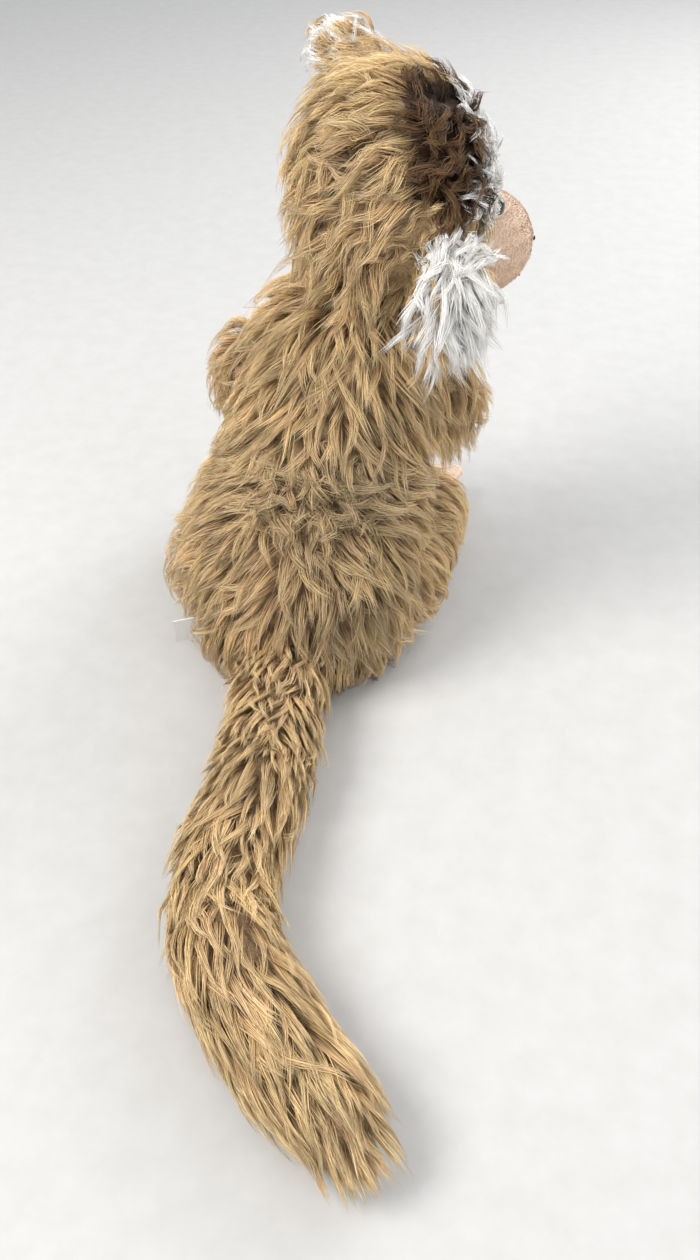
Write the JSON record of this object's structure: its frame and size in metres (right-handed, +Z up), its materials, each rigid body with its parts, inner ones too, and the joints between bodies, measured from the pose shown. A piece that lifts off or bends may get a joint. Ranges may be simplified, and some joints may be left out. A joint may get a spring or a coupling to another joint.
{
  "type": "seated plush monkey",
  "caption": "Seated long-pile plush monkey with a turned head, side ears, four soft limbs and a long curved tail.",
  "frame": {"origin": "centre of the flat seat panel that the toy sits on", "axes": "+Z up; the body faces -Y; +X is the toy's own left; the tail lies towards +Y"},
  "size_m": [0.1921, 0.4744, 0.3023],
  "materials": {
    "tan_fur": "long tan pile, paler at the tips and brown at the roots",
    "brown_fur": "long dark brown pile",
    "white_fur": "long cream white pile",
    "peach_plush": "short velvety pile",
    "stuffing": "loose white polyester fibre",
    "pellet_cloth": "plain woven bag",
    "seat_cloth": "short brown pile",
    "label_cloth": "smooth woven label, blank",
    "eye_plastic": "polished black dome",
    "washer_plastic": "plain moulded ring",
    "thread": "embroidery thread"
  },
  "bodies": {
    "body": {"back_skin": "tan_fur", "belly_skin": "tan_fur", "body_stuffing": "stuffing", "seat_panel": "seat_cloth", "seat_pellet_bag": "pellet_cloth", "sewn_label": "label_cloth"},
    "neck": {"neck_skin": "tan_fur"},
    "neck_core": {"neck_stuffing": "stuffing"},
    "head": {"cap_panel": "brown_fur", "cheek_and_chin_panel": "tan_fur", "face_panel": "white_fur", "head_back_skin": "tan_fur", "head_stuffing": "stuffing", "left_eye": "eye_plastic", "left_eye_washer": "washer_plastic", "left_nostril": "thread", "mouth_stitch": "thread", "muzzle_skin": "peach_plush", "muzzle_stuffing": "stuffing", "right_eye": "eye_plastic", "right_eye_washer": "washer_plastic", "right_nostril": "thread"},
    "left_ear": {"left_ear_back": "tan_fur", "left_ear_front": "white_fur"},
    "right_ear": {"right_ear_back": "tan_fur", "right_ear_front": "white_fur"},
    "left_arm": {"left_arm_skin": "tan_fur", "left_arm_stuffing": "stuffing", "left_hand": "peach_plush"},
    "right_arm": {"right_arm_skin": "tan_fur", "right_arm_stuffing": "stuffing", "right_hand": "peach_plush"},
    "left_leg": {"left_foot": "peach_plush", "left_leg_skin": "tan_fur", "left_leg_stuffing": "stuffing"},
    "right_leg": {"right_foot": "peach_plush", "right_leg_skin": "tan_fur", "right_leg_stuffing": "stuffing"},
    "tail_base": {"tail_base_skin": "tan_fur", "tail_base_stuffing": "stuffing"},
    "tail_middle": {"tail_middle_skin": "tan_fur", "tail_middle_stuffing": "stuffing"},
    "tail_end": {"tail_end_skin": "tan_fur", "tail_end_stuffing": "stuffing"}
  },
  "joints": [
    {"name": "head_turn", "type": "hinge", "parent": "body", "child": "neck", "pos_m": [-0.02721, -0.06344, 0.20806], "axis": [0, 0, 1], "range_deg": [-30, 140]},
    {"name": "head_nod", "type": "hinge", "parent": "neck", "child": "neck_core", "pos_m": [-0.02721, -0.06344, 0.20806], "axis": [0.5299, -0.848, 0], "range_deg": [-18, 10]},
    {"name": "head_tilt", "type": "hinge", "parent": "neck_core", "child": "head", "pos_m": [-0.02721, -0.06344, 0.20806], "axis": [0.8152, 0.5094, 0.2756], "range_deg": [-8, 40]},
    {"name": "left_ear_flop", "type": "hinge", "parent": "head", "child": "left_ear", "pos_m": [-0.03422, -0.10001, 0.28184], "axis": [0.8152, 0.5094, 0.2756], "range_deg": [-15, 20], "stiffness_Nm_per_rad": 0.01},
    {"name": "right_ear_flop", "type": "hinge", "parent": "head", "child": "right_ear", "pos_m": [-0.07823, -0.00834, 0.24259], "axis": [0.8152, 0.5094, 0.2756], "range_deg": [-20, 15], "stiffness_Nm_per_rad": 0.01},
    {"name": "left_arm_swing", "type": "hinge", "parent": "body", "child": "left_arm", "pos_m": [0.027, -0.042, 0.155], "axis": [-0.9799, 0, -0.1994], "range_deg": [-6, 45]},
    {"name": "right_arm_swing", "type": "hinge", "parent": "body", "child": "right_arm", "pos_m": [-0.065, -0.042, 0.155], "axis": [-0.9799, 0, -0.1994], "range_deg": [-6, 45]},
    {"name": "left_leg_swing", "type": "hinge", "parent": "body", "child": "left_leg", "pos_m": [0.052, -0.018, 0.034], "axis": [-1, 0, 0], "range_deg": [0, 24]},
    {"name": "right_leg_swing", "type": "hinge", "parent": "body", "child": "right_leg", "pos_m": [-0.048, -0.018, 0.034], "axis": [-1, 0, 0], "range_deg": [0, 24]},
    {"name": "tail_base_swing", "type": "hinge", "parent": "body", "child": "tail_base", "pos_m": [-0.002, 0.06, 0.02], "axis": [0, 0, 1], "range_deg": [-28, 28]},
    {"name": "tail_middle_bend", "type": "hinge", "parent": "tail_base", "child": "tail_middle", "pos_m": [-0.012, 0.142, 0.02], "axis": [0, 0, 1], "range_deg": [-28, 28]},
    {"name": "tail_end_bend", "type": "hinge", "parent": "tail_middle", "child": "tail_end", "pos_m": [-0.023, 0.231, 0.02], "axis": [0, 0, 1], "range_deg": [-28, 28]}
  ]
}
